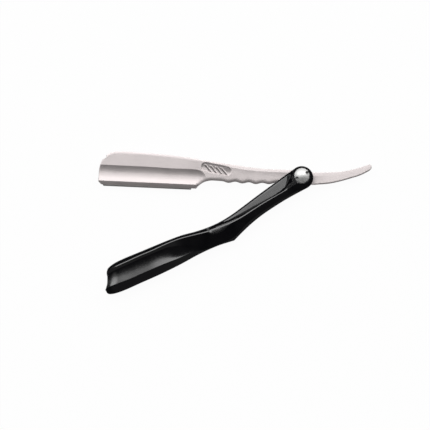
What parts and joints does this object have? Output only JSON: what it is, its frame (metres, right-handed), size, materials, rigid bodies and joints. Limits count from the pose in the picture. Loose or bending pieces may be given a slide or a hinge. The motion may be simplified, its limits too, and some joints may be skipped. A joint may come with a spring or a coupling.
{
  "type": "folding straight razor",
  "caption": "Folding straight razor: steel blade holder with clamped single-edge blade, finger waves and tail, pivoting between two moulded handle scales.",
  "frame": {"origin": "on the pivot axis, at the pivot nut's flat outer face, on which the razor lies", "axes": "+Z along the pivot axis from the nut to the domed screw head, +X along the opened razor from the nose of the blade holder to its tail, +Y from the handle's side to the holder's side"},
  "size_m": [0.1845, 0.0962, 0.0136],
  "materials": {
    "black_plastic": "satin gloss moulded plastic",
    "satin_steel": "fine satin",
    "polished_steel": "polished",
    "blade_steel": "ground and polished strip",
    "fastener_steel": "machined",
    "brass": "knurled",
    "bronze": "turned"
  },
  "bodies": {
    "handle": {"front_scale": "black_plastic", "back_scale": "black_plastic", "backspacer": "black_plastic", "toe_spacer": "fastener_steel", "scale_screw_1": "fastener_steel", "scale_screw_2": "fastener_steel", "scale_insert_1": "brass", "scale_insert_2": "brass", "spacer_dowel_1": "fastener_steel", "spacer_dowel_2": "fastener_steel", "pivot_screw": "polished_steel", "pivot_nut": "polished_steel", "spring_washer": "fastener_steel", "front_thrust_washer": "bronze", "back_thrust_washer": "bronze"},
    "holder": {"blade_holder": "satin_steel", "clamp_jaw": "satin_steel", "jaw_screw_1": "fastener_steel", "jaw_screw_2": "fastener_steel", "jaw_screw_3": "fastener_steel", "jaw_dowel_1": "fastener_steel", "jaw_dowel_2": "fastener_steel", "tang_bush": "bronze"},
    "blade": {"razor_blade": "blade_steel"}
  },
  "joints": [
    {"name": "pivot", "type": "hinge", "parent": "handle", "child": "holder", "pos_m": [0, 0, 0.0059], "axis": [0, 0, 1], "range_deg": [-300, 29]},
    {"name": "blade_slide", "type": "slide", "parent": "holder", "child": "blade", "axis": [-0.999, 0.0449, 0], "range_m": [0, 0.065]}
  ]
}
